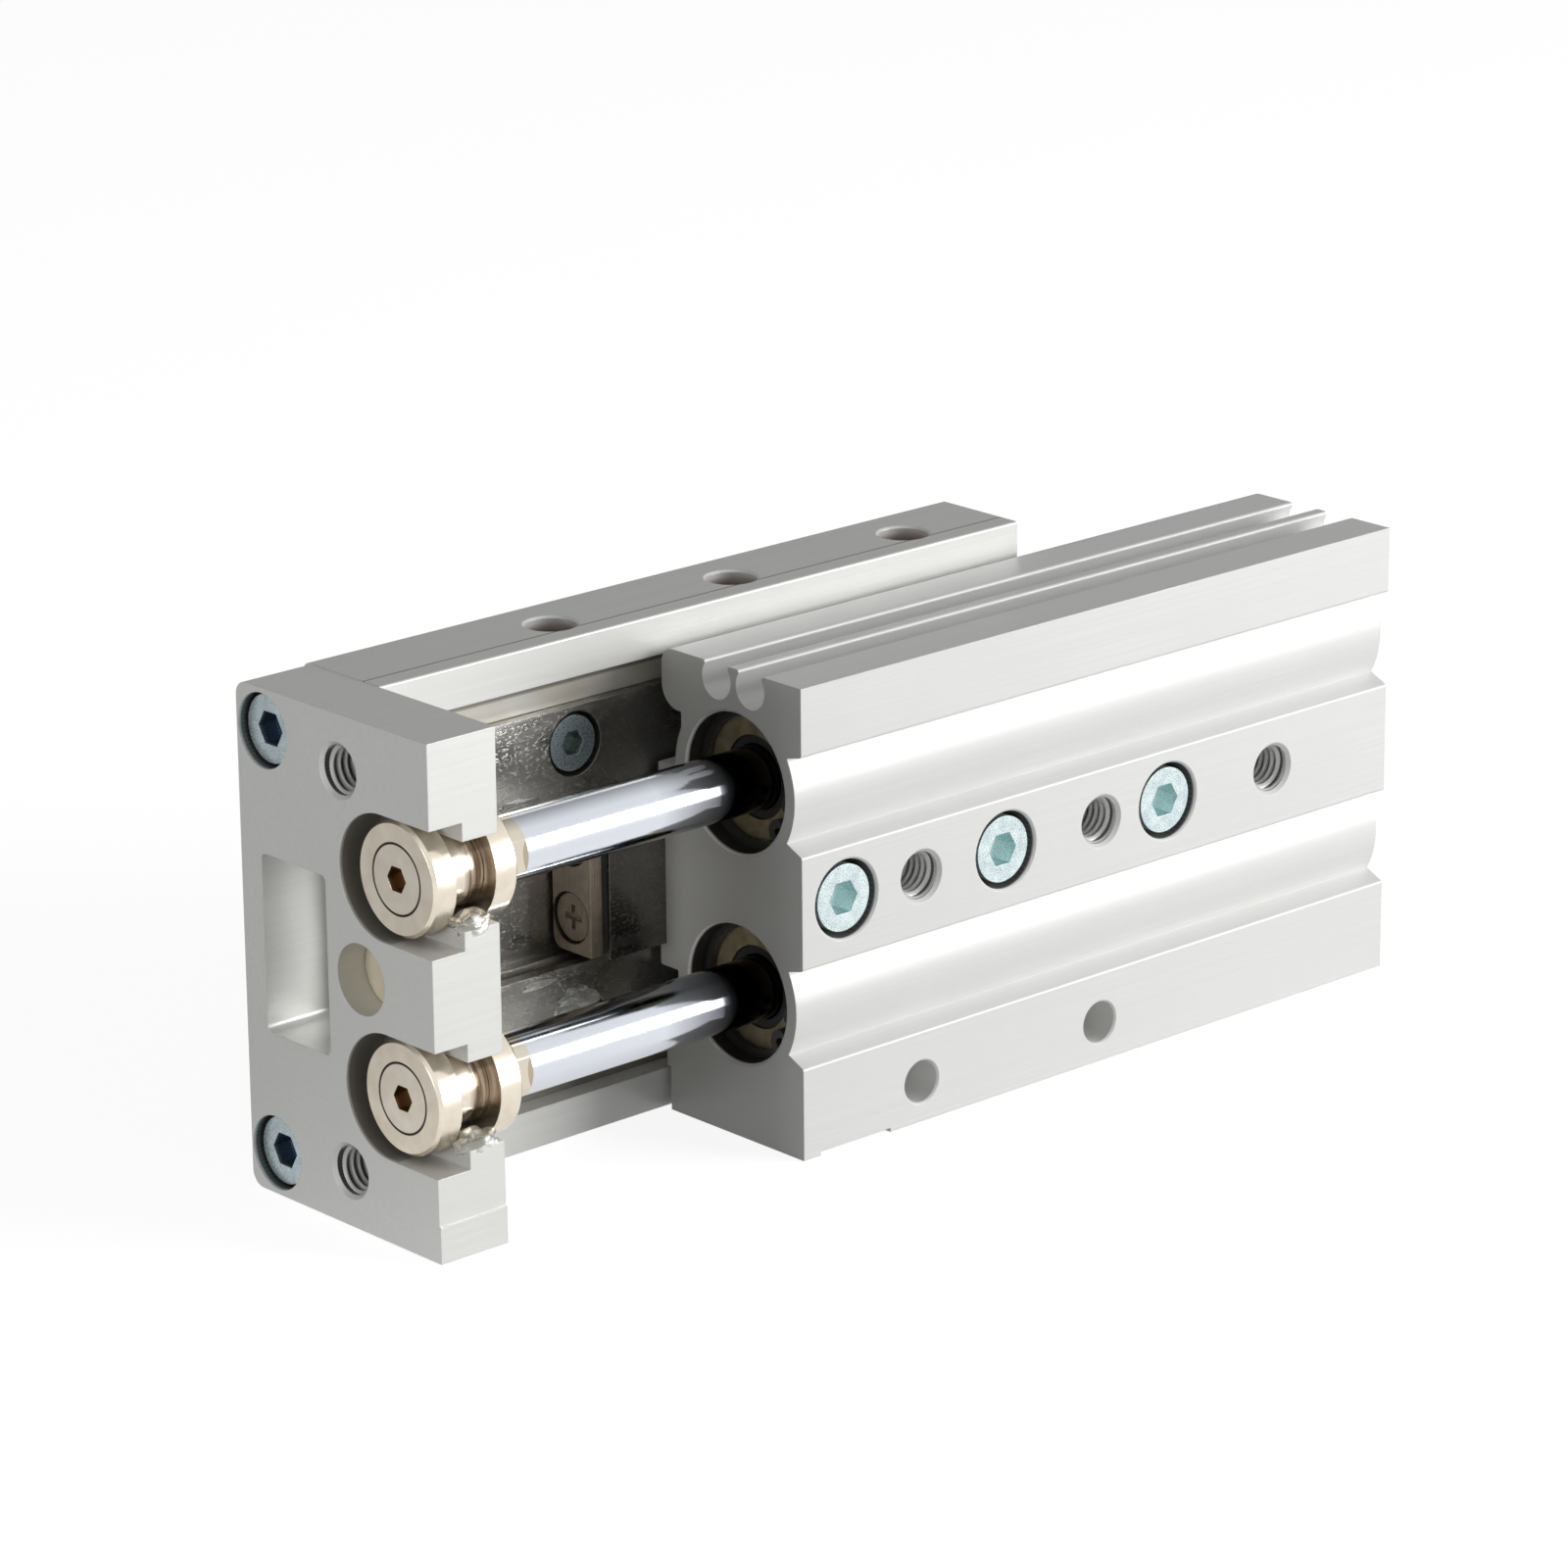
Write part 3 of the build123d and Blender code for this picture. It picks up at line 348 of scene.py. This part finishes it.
def chromed():
    """Hard chrome, polished, with a bare nickel coloured end where the flats are and a painted dark reflection
    towards the body.
    """
    skin = Surface("hard_chrome", rgb("d9dce3"), 1.0, 0.07)
    marks = skin.noise((0.25 * MM, 3 * MM, 3 * MM))
    haze = skin.noise((9 * MM,) * 3, 2.0)
    skin.tint(haze, rgb("d6dae2"), 0.5)
    skin.tint(skin.ramp(skin.axes["X"], PLATE_BACK + 7.7 * MM, PLATE_BACK + 7.5 * MM), rgb("d9d0c0"))
    # Painted reflection: the chrome turns near black over the last stretch before the body's front, standing in
    # for the dark body end it mirrors.
    skin.tint(skin.ramp(skin.axes["X"], BODY_FRONT - 15 * MM, BODY_FRONT - 4 * MM), rgb("232428"), 0.97)
    skin.rough(marks, 0.08, 0.15)
    return skin.bump(marks, 0.0006 * MM)


def turned(name, color, dark, groove, roughness):
    """Nickel plated steel with turning rings round the bore's axis and a brown, striped neck."""
    skin = Surface(name, color, 1.0, roughness, 0.1 * MM)
    reach = skin.radius()
    turns = skin.math("SINE", skin.math("MULTIPLY", reach, 2 * pi / groove))
    wave = skin.math("ADD", skin.math("MULTIPLY", turns, 0.5), 0.5)
    patches = skin.noise((2.5 * MM,) * 3, 4.0)
    skin.tint(patches, dark, 0.45)
    skin.tint(wave, [c * 0.85 for c in color], 0.35)
    stripes = skin.noise((0.5 * MM, 9 * MM, 9 * MM), 3.0)
    neck = skin.both(skin.ramp(skin.axes["X"], PLATE_BACK - 2.9 * MM, PLATE_BACK - 2.0 * MM),
                     skin.ramp(skin.axes["X"], PLATE_BACK + 0.03 * MM, PLATE_BACK + 0.01 * MM),
                     skin.ramp(stripes, -0.6, 0.8))
    skin.tint(neck, rgb("5d4632"), 0.9)
    seam = skin.both(skin.ramp(reach, 4.1 * MM, 4.2 * MM), skin.ramp(reach, 4.52 * MM, 4.44 * MM),
                     skin.ramp(skin.axes["X"], PLATE_FRONT + 1.3 * MM, PLATE_FRONT + 1.2 * MM))
    skin.tint(seam, rgb("3f362c"), 0.85)
    skin.rough(patches, roughness * 0.8, roughness * 1.3)
    return skin.bump(wave, 0.004 * MM)


def hex_screw():
    """The bush's nickel plated screw, with painted shade in its socket."""
    skin = turned("nickel_screw", rgb("ece3d5"), rgb("d2c3ad"), 0.22 * MM, 0.2)
    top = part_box("bush_screw_upper")[0].x
    # Painted shade: the socket, deeper than the head's top, is coloured darker brown.
    return skin.tint(skin.ramp(skin.axes["X"], top + 0.12 * MM, top + 0.5 * MM), rgb("a8937c"))


def zinc(name, node, axis, head, socket):
    """Blue zinc plate with its own colour in the sockets, which start at the screws' low end on that axis; where
    that colour is darker than the head it is painted shade.
    """
    skin = Surface(name, rgb(head), 0.7, 0.3, 0.12 * MM)
    patches = skin.noise((1.1 * MM,) * 3, 4.0)
    pits = skin.noise((0.2 * MM,) * 3)
    top = getattr(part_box(node)[0], axis)
    skin.tint(patches, rgb("a9bac0"), 0.6)
    # The socket colour: where it is darker than the head, as for the plate and rail screws, it is painted shade
    # over the zinc's blue.
    skin.tint(skin.ramp(skin.axes[axis.upper()], top + 0.15 * MM, top + 0.6 * MM), rgb(socket))
    skin.rough(pits, 0.22, 0.4)
    return skin.bump(pits, 0.004 * MM)


def ground_steel(name, color, dark):
    """Ground guide steel with grinding lines along the stroke and a greasy film in patches."""
    skin = Surface(name, color, 0.9, 0.3, 0.15 * MM)
    lines = skin.noise((40 * MM, 0.12 * MM, 0.12 * MM))
    film = skin.noise((9 * MM, 4 * MM, 4 * MM), 6.0)
    specks = skin.noise((0.5 * MM, 0.3 * MM, 0.3 * MM), 4.0, 0.55, 0.7)
    skin.tint(lines, [c * 0.8 for c in color], 0.6)
    skin.tint(film, dark, 0.6)
    skin.tint(specks, [min(1, c * 1.6) for c in color], 0.3)
    skin.rough(film, 0.2, 0.4)
    return skin.bump(lines, 0.003 * MM).bump(specks, 0.02 * MM)


def rail_steel():
    """The rail's ground steel, with a painted shadow of the body darkening it towards the body."""
    skin = ground_steel("rail_steel", rgb("c6c4be"), rgb("77746e"))
    # Painted shadow: the rail darkens over the stretch just in front of the body.
    painted_body_shadow = skin.ramp(skin.axes["X"], BODY_FRONT - 24 * MM, BODY_FRONT - 8 * MM)
    return skin.tint(painted_body_shadow, rgb("5f5e5b"), 0.6)


def brushed():
    """The guide's steel end covers, with dark rings round the screw heads."""
    skin = Surface("cover_steel", rgb("b8ab9b"), 0.7, 0.34, 0.15 * MM)
    lines = skin.noise((0.07 * MM, 0.07 * MM, 12 * MM))
    spots = skin.noise((1.5 * MM,) * 3, 4.0)
    skin.tint(lines, rgb("95897b"), 0.7)
    skin.tint(spots, rgb("7d7164"), 0.35)
    centre = first_screw("guide_cover_screws_front")
    wide = skin.inside("YZ", centre, 3.36 * MM, mirrored=True)
    narrow = skin.inside("YZ", centre, 3.02 * MM, mirrored=True)
    skin.tint(skin.math("SUBTRACT", wide, narrow), rgb("2b241e"), 0.9)
    skin.rough(lines, 0.26, 0.42)
    return skin.bump(lines, 0.005 * MM)


def ball_bearing():
    """Polished balls under a thin film of oil."""
    skin = Surface("ball_steel", rgb("d8dadd"), 1.0, 0.12)
    film = skin.noise((0.8 * MM,) * 3)
    skin.tint(film, rgb("a9aaac"), 0.4)
    return skin.rough(film, 0.08, 0.2)


def rubber(name, color, pale, roughness=0.55):
    """Rubber or resin with a pale bloom in patches."""
    skin = Surface(name, color, 0.0, roughness, 0.15 * MM)
    grains = skin.noise((0.25 * MM,) * 3)
    bloom = skin.noise((2.2 * MM,) * 3, 4.0)
    skin.tint(bloom, pale, 0.5)
    skin.rough(bloom, roughness - 0.12, roughness + 0.1)
    return skin.bump(grains, 0.01 * MM)


def olive_cover():
    """The rod covers' plated metal, olive brown in patches."""
    skin = Surface("cover_bronze", rgb("a09378"), 0.5, 0.36)
    rings = skin.noise((0.3 * MM, 2 * MM, 2 * MM))
    patches = skin.noise((1.8 * MM,) * 3, 4.0)
    skin.tint(patches, rgb("6d6249"), 0.6)
    skin.rough(patches, 0.28, 0.45)
    return skin.bump(rings, 0.004 * MM)


def dark_metal(name, color, roughness):
    """Dark, slightly pitted metal."""
    skin = Surface(name, color, 0.6, roughness)
    pits = skin.noise((0.3 * MM,) * 3)
    skin.tint(pits, [c * 0.6 for c in color], 0.5)
    skin.rough(pits, roughness - 0.06, roughness + 0.08)
    return skin.bump(pits, 0.006 * MM)


def grease():
    """Clear grease that lets what is under it through."""
    skin = Surface("grease", rgb("d9dad3"), 0.0, 0.2)
    swirl = skin.noise((0.9 * MM,) * 3, 4.0)
    skin.tint(swirl, rgb("d5d3c8"), 0.5)
    skin.set("Transmission Weight", 0.7)
    skin.set("IOR", 1.45)
    return skin.bump(swirl, 0.08 * MM)


surfaces = {
    "body_aluminium": body_skin(),
    "plate_aluminium": plate_skin(),
    "hard_chrome": chromed(),
    "nickel": turned("nickel", rgb("eee4d4"), rgb("d2c3ad"), 0.22 * MM, 0.2),
    "zinc_screw": zinc("zinc_screw", "guide_block_screws", "y", "d6e2e2", "d4e9e9"),
    "guide_steel": ground_steel("guide_steel", rgb("7c7b76"), rgb("55524b")),
    "cover_steel": brushed(),
    "ball_steel": ball_bearing(),
    "black_rubber": rubber("black_rubber", rgb("1b1b1b"), rgb("2c2b29")),
    "beige_rubber": rubber("beige_rubber", rgb("f2e8cf"), rgb("e4d8b8")),
    "black_resin": rubber("black_resin", rgb("222222"), rgb("303030"), 0.4),
    "cover_bronze": olive_cover(),
    "ring_steel": dark_metal("ring_steel", rgb("4a4a4a"), 0.35),
    "magnet": dark_metal("magnet", rgb("3b3a3a"), 0.5),
    "grease": grease(),
    "thread": anodised("thread_aluminium", rgb("e6e6e4"), 0.6 * MM),
}

# Pieces that look unlike the rest of their material
bush_screw = hex_screw()
own_surfaces = {
    "table": table_skin(),
    "table_rail": rail_steel(),
    # The rail screws' darker socket colour is painted shade.
    "table_rail_screws": zinc("rail_screw", "table_rail_screws", "y", "aebdc2", "7d8b86"),
    "bush_screw_upper": bush_screw,
    "bush_screw_lower": bush_screw,
    # The plate screws' navy socket colour is painted shade over the zinc's blue.
    "end_plate_screws": zinc("plate_screw", "end_plate_screws", "x", "d3e2e6", "5f7185"),
}

for part in frame["record"]["subparts"]:
    node = frame["nodes"][part["node"]]
    node.data.materials.clear()
    surface = own_surfaces.get(part["node"], surfaces[part["material_slot"]])
    node.data.materials.append(surface.material)


# Extra pieces

def mesh_object(name, points, faces, material, body):
    """A smooth piece of its own that moves with a body."""
    mesh = bpy.data.meshes.new(name)
    mesh.from_pydata([tuple(p) for p in points], [], faces)
    mesh.polygons.foreach_set("use_smooth", [True] * len(faces))
    mesh.materials.append(surfaces[material].material)
    made = bpy.data.objects.new(name, mesh)
    bpy.context.scene.collection.objects.link(made)
    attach(made, body)
    return made


def thread(name, mouth, inward, depth, body):
    """One ridge of thread wound down a tapped hole, standing in from its wall."""
    inward = Vector(inward)
    side = inward.orthogonal().normalized()
    up = inward.cross(side)
    # Each corner of the ridge: out from the wall, and along in pitches
    profile = [(0.02 * MM, -0.3), (-THREAD_RISE, -0.09), (-THREAD_RISE, 0.09), (0.02 * MM, 0.3)]
    count = int((depth - 2 * THREAD_START) / THREAD_PITCH * THREAD_STEPS)
    points = []
    for i in range(count + 1):
        angle = 2 * pi * i / THREAD_STEPS
        fade = min(1, i / THREAD_STEPS, (count - i) / THREAD_STEPS)
        out = side * cos(angle) + up * sin(angle)
        along = THREAD_START + THREAD_PITCH * i / THREAD_STEPS
        for dr, step in profile:
            reach = TAP_RADIUS + (dr if dr > 0 else dr * fade)
            points.append(Vector(mouth) + out * reach + inward * (along + step * THREAD_PITCH))
    wide = len(profile)
    faces = [(i * wide + j, i * wide + j + 1, (i + 1) * wide + j + 1, (i + 1) * wide + j)
             for i in range(count) for j in range(wide - 1)]
    return mesh_object(name, points, faces, "thread", body)


for count, (name, mouth, inward, depth, body) in enumerate(mouths()):
    thread(f"{name}_{count}", mouth, inward, depth, body)


def blob(name, centre, radii, body, seed):
    """A smooth lump of grease pressed against what it sits on."""
    rings, wide = 18, 28
    points = []
    for i in range(rings + 1):
        for j in range(wide):
            a, b = pi * i / rings, 2 * pi * j / wide
            way = Vector((cos(a), sin(a) * cos(b), sin(a) * sin(b)))
            swell = 1 + 0.4 * noise.noise(way * 1.7 + Vector((seed, 0, 0))) + 0.12 * noise.noise(way * 6)
            points.append(Vector(centre) + Vector([w * r * swell for w, r in zip(way, radii)]))
    faces = [(i * wide + j, i * wide + (j + 1) % wide, (i + 1) * wide + (j + 1) % wide, (i + 1) * wide + j)
             for i in range(rings) for j in range(wide)]
    return mesh_object(name, points, faces, "grease", body)


for count, side in enumerate(("upper", "lower")):
    blob("neck_grease_" + side, (PLATE_BACK - 3.0 * MM, FACE_Y + 6.2 * MM, BORE_Z[side] - 5.3 * MM),
         (2.8 * MM, 2.0 * MM, 1.5 * MM), "slide_table", 3.1 + count)

# Grease on the rail: place along the stroke from the body's front, height, half length and half width, mm
smears = ((-13.0, 16.6, 3.2, 2.0), (-21.3, 44.0, 3.0, 0.7), (-19.0, 20.4, 2.6, 0.5))
for count, (s, z, reach, wide) in enumerate(smears):
    blob(f"rail_grease_{count}", (BODY_FRONT + s * MM, RAIL_FACE, z * MM), (reach * MM, 0.35 * MM, wide * MM),
         "slide_table", 7.7 + count)


# Floor, world, lamps and camera

def math_node(tree, operation, a, b):
    node = tree.nodes.new("ShaderNodeMath")
    node.operation = operation
    for socket, value in zip(node.inputs, (a, b)):
        if isinstance(value, bpy.types.NodeSocket):
            tree.links.new(value, socket)
        else:
            socket.default_value = value
    return node.outputs[0]


def seen(tree, metal):
    """How bright the surroundings look: 1 to the camera and, in metal, the value on that socket."""
    path = tree.nodes.new("ShaderNodeLightPath").outputs
    mirrored = math_node(tree, "MAXIMUM", path["Is Glossy Ray"], path["Is Transmission Ray"])
    return math_node(tree, "MAXIMUM", path["Is Camera Ray"], math_node(tree, "MULTIPLY", mirrored, metal))


def towards_front(tree, output, back, front, behind):
    """1 where the Y of that texture coordinate is below front, falling to the value behind from back on."""
    place = tree.nodes.new("ShaderNodeTexCoord").outputs[output]
    y = tree.nodes.new("ShaderNodeSeparateXYZ")
    tree.links.new(place, y.inputs[0])
    ramp = tree.nodes.new("ShaderNodeMapRange")
    tree.links.new(y.outputs["Y"], ramp.inputs["Value"])
    for name, value in (("From Min", front), ("From Max", back), ("To Min", 1.0), ("To Max", behind)):
        ramp.inputs[name].default_value = value
    return ramp.outputs["Result"]


def make_world():
    """White to the camera, and dimmer behind the object as metal and paint see it."""
    world = bpy.data.worlds.new("studio")
    world.use_nodes = True
    tree = world.node_tree
    shade = tree.nodes["Background"]
    shade.inputs["Color"].default_value = (0.99, 0.995, 1, 1)
    bright = seen(tree, towards_front(tree, "Generated", 0.5, -0.3, WORLD_BEHIND))
    tree.links.new(math_node(tree, "MAXIMUM", bright, WORLD_SOFT), shade.inputs["Strength"])
    bpy.context.scene.world = world


def make_floor():
    """A plain pale floor that looks white and keeps the shadow."""
    material = bpy.data.materials.new("floor")
    material.use_nodes = True
    tree = material.node_tree
    tree.nodes.clear()
    paper = tree.nodes.new("ShaderNodeBsdfDiffuse")
    paper.inputs["Color"].default_value = (FLOOR_GREY, FLOOR_GREY, FLOOR_GREY, 1)
    glow = tree.nodes.new("ShaderNodeEmission")
    glow.inputs["Color"].default_value = (1, 1, 1, 1)
    bright = seen(tree, towards_front(tree, "Object", 0.05, -0.03, FLOOR_BEHIND))
    tree.links.new(math_node(tree, "MULTIPLY", bright, FLOOR_GLOW), glow.inputs["Strength"])
    both = tree.nodes.new("ShaderNodeAddShader")
    out = tree.nodes.new("ShaderNodeOutputMaterial")
    tree.links.new(paper.outputs[0], both.inputs[0])
    tree.links.new(glow.outputs[0], both.inputs[1])
    tree.links.new(both.outputs[0], out.inputs[0])
    mesh = bpy.data.meshes.new("floor")
    level = start_bounds[0].z - 0.05 * MM
    corners = [(x * FLOOR_REACH, y * FLOOR_REACH, level) for x, y in ((-1, -1), (1, -1), (1, 1), (-1, 1))]
    mesh.from_pydata(corners, [], [(0, 1, 2, 3)])
    mesh.materials.append(material)
    floor = bpy.data.objects.new("floor", mesh)
    bpy.context.scene.collection.objects.link(floor)


def area_lamp(name, place, target, size, power):
    """A square soft light that faces the target."""
    lamp = bpy.data.lights.new(name, "AREA")
    lamp.shape = "SQUARE"
    lamp.size = size
    lamp.energy = power
    made = bpy.data.objects.new(name, lamp)
    made.location = place
    made.rotation_mode = "QUATERNION"
    made.rotation_quaternion = (Vector(target) - Vector(place)).to_track_quat("-Z", "Y")
    bpy.context.scene.collection.objects.link(made)


def make_camera(place, azimuth, elevation, roll, lens):
    """The scene's camera, turned by azimuth, elevation and roll."""
    back = Vector((sin(azimuth) * cos(elevation), -cos(azimuth) * cos(elevation), sin(elevation)))
    level = Vector((0, 0, 1)).cross(back).normalized()
    above = back.cross(level)
    right = level * cos(roll) + above * sin(roll)
    up = above * cos(roll) - level * sin(roll)
    camera = bpy.data.cameras.new("camera")
    camera.lens = lens
    camera.sensor_width = 36
    camera.clip_start = 0.01
    made = bpy.data.objects.new("camera", camera)
    turn = Matrix((right, up, back)).transposed().to_4x4()
    made.matrix_world = Matrix.Translation(place) @ turn
    bpy.context.scene.collection.objects.link(made)
    bpy.context.scene.camera = made


make_world()
make_floor()
middle = (start_bounds[0] + start_bounds[1]) / 2
area_lamp("key", KEY_PLACE, middle, KEY_SIZE, KEY_POWER)
area_lamp("side", SIDE_PLACE, middle, SIDE_SIZE, SIDE_POWER)
make_camera(CAMERA_PLACE, CAMERA_AZIMUTH, CAMERA_ELEVATION, CAMERA_ROLL, CAMERA_LENS)
bpy.context.scene.view_settings.view_transform = "Standard"
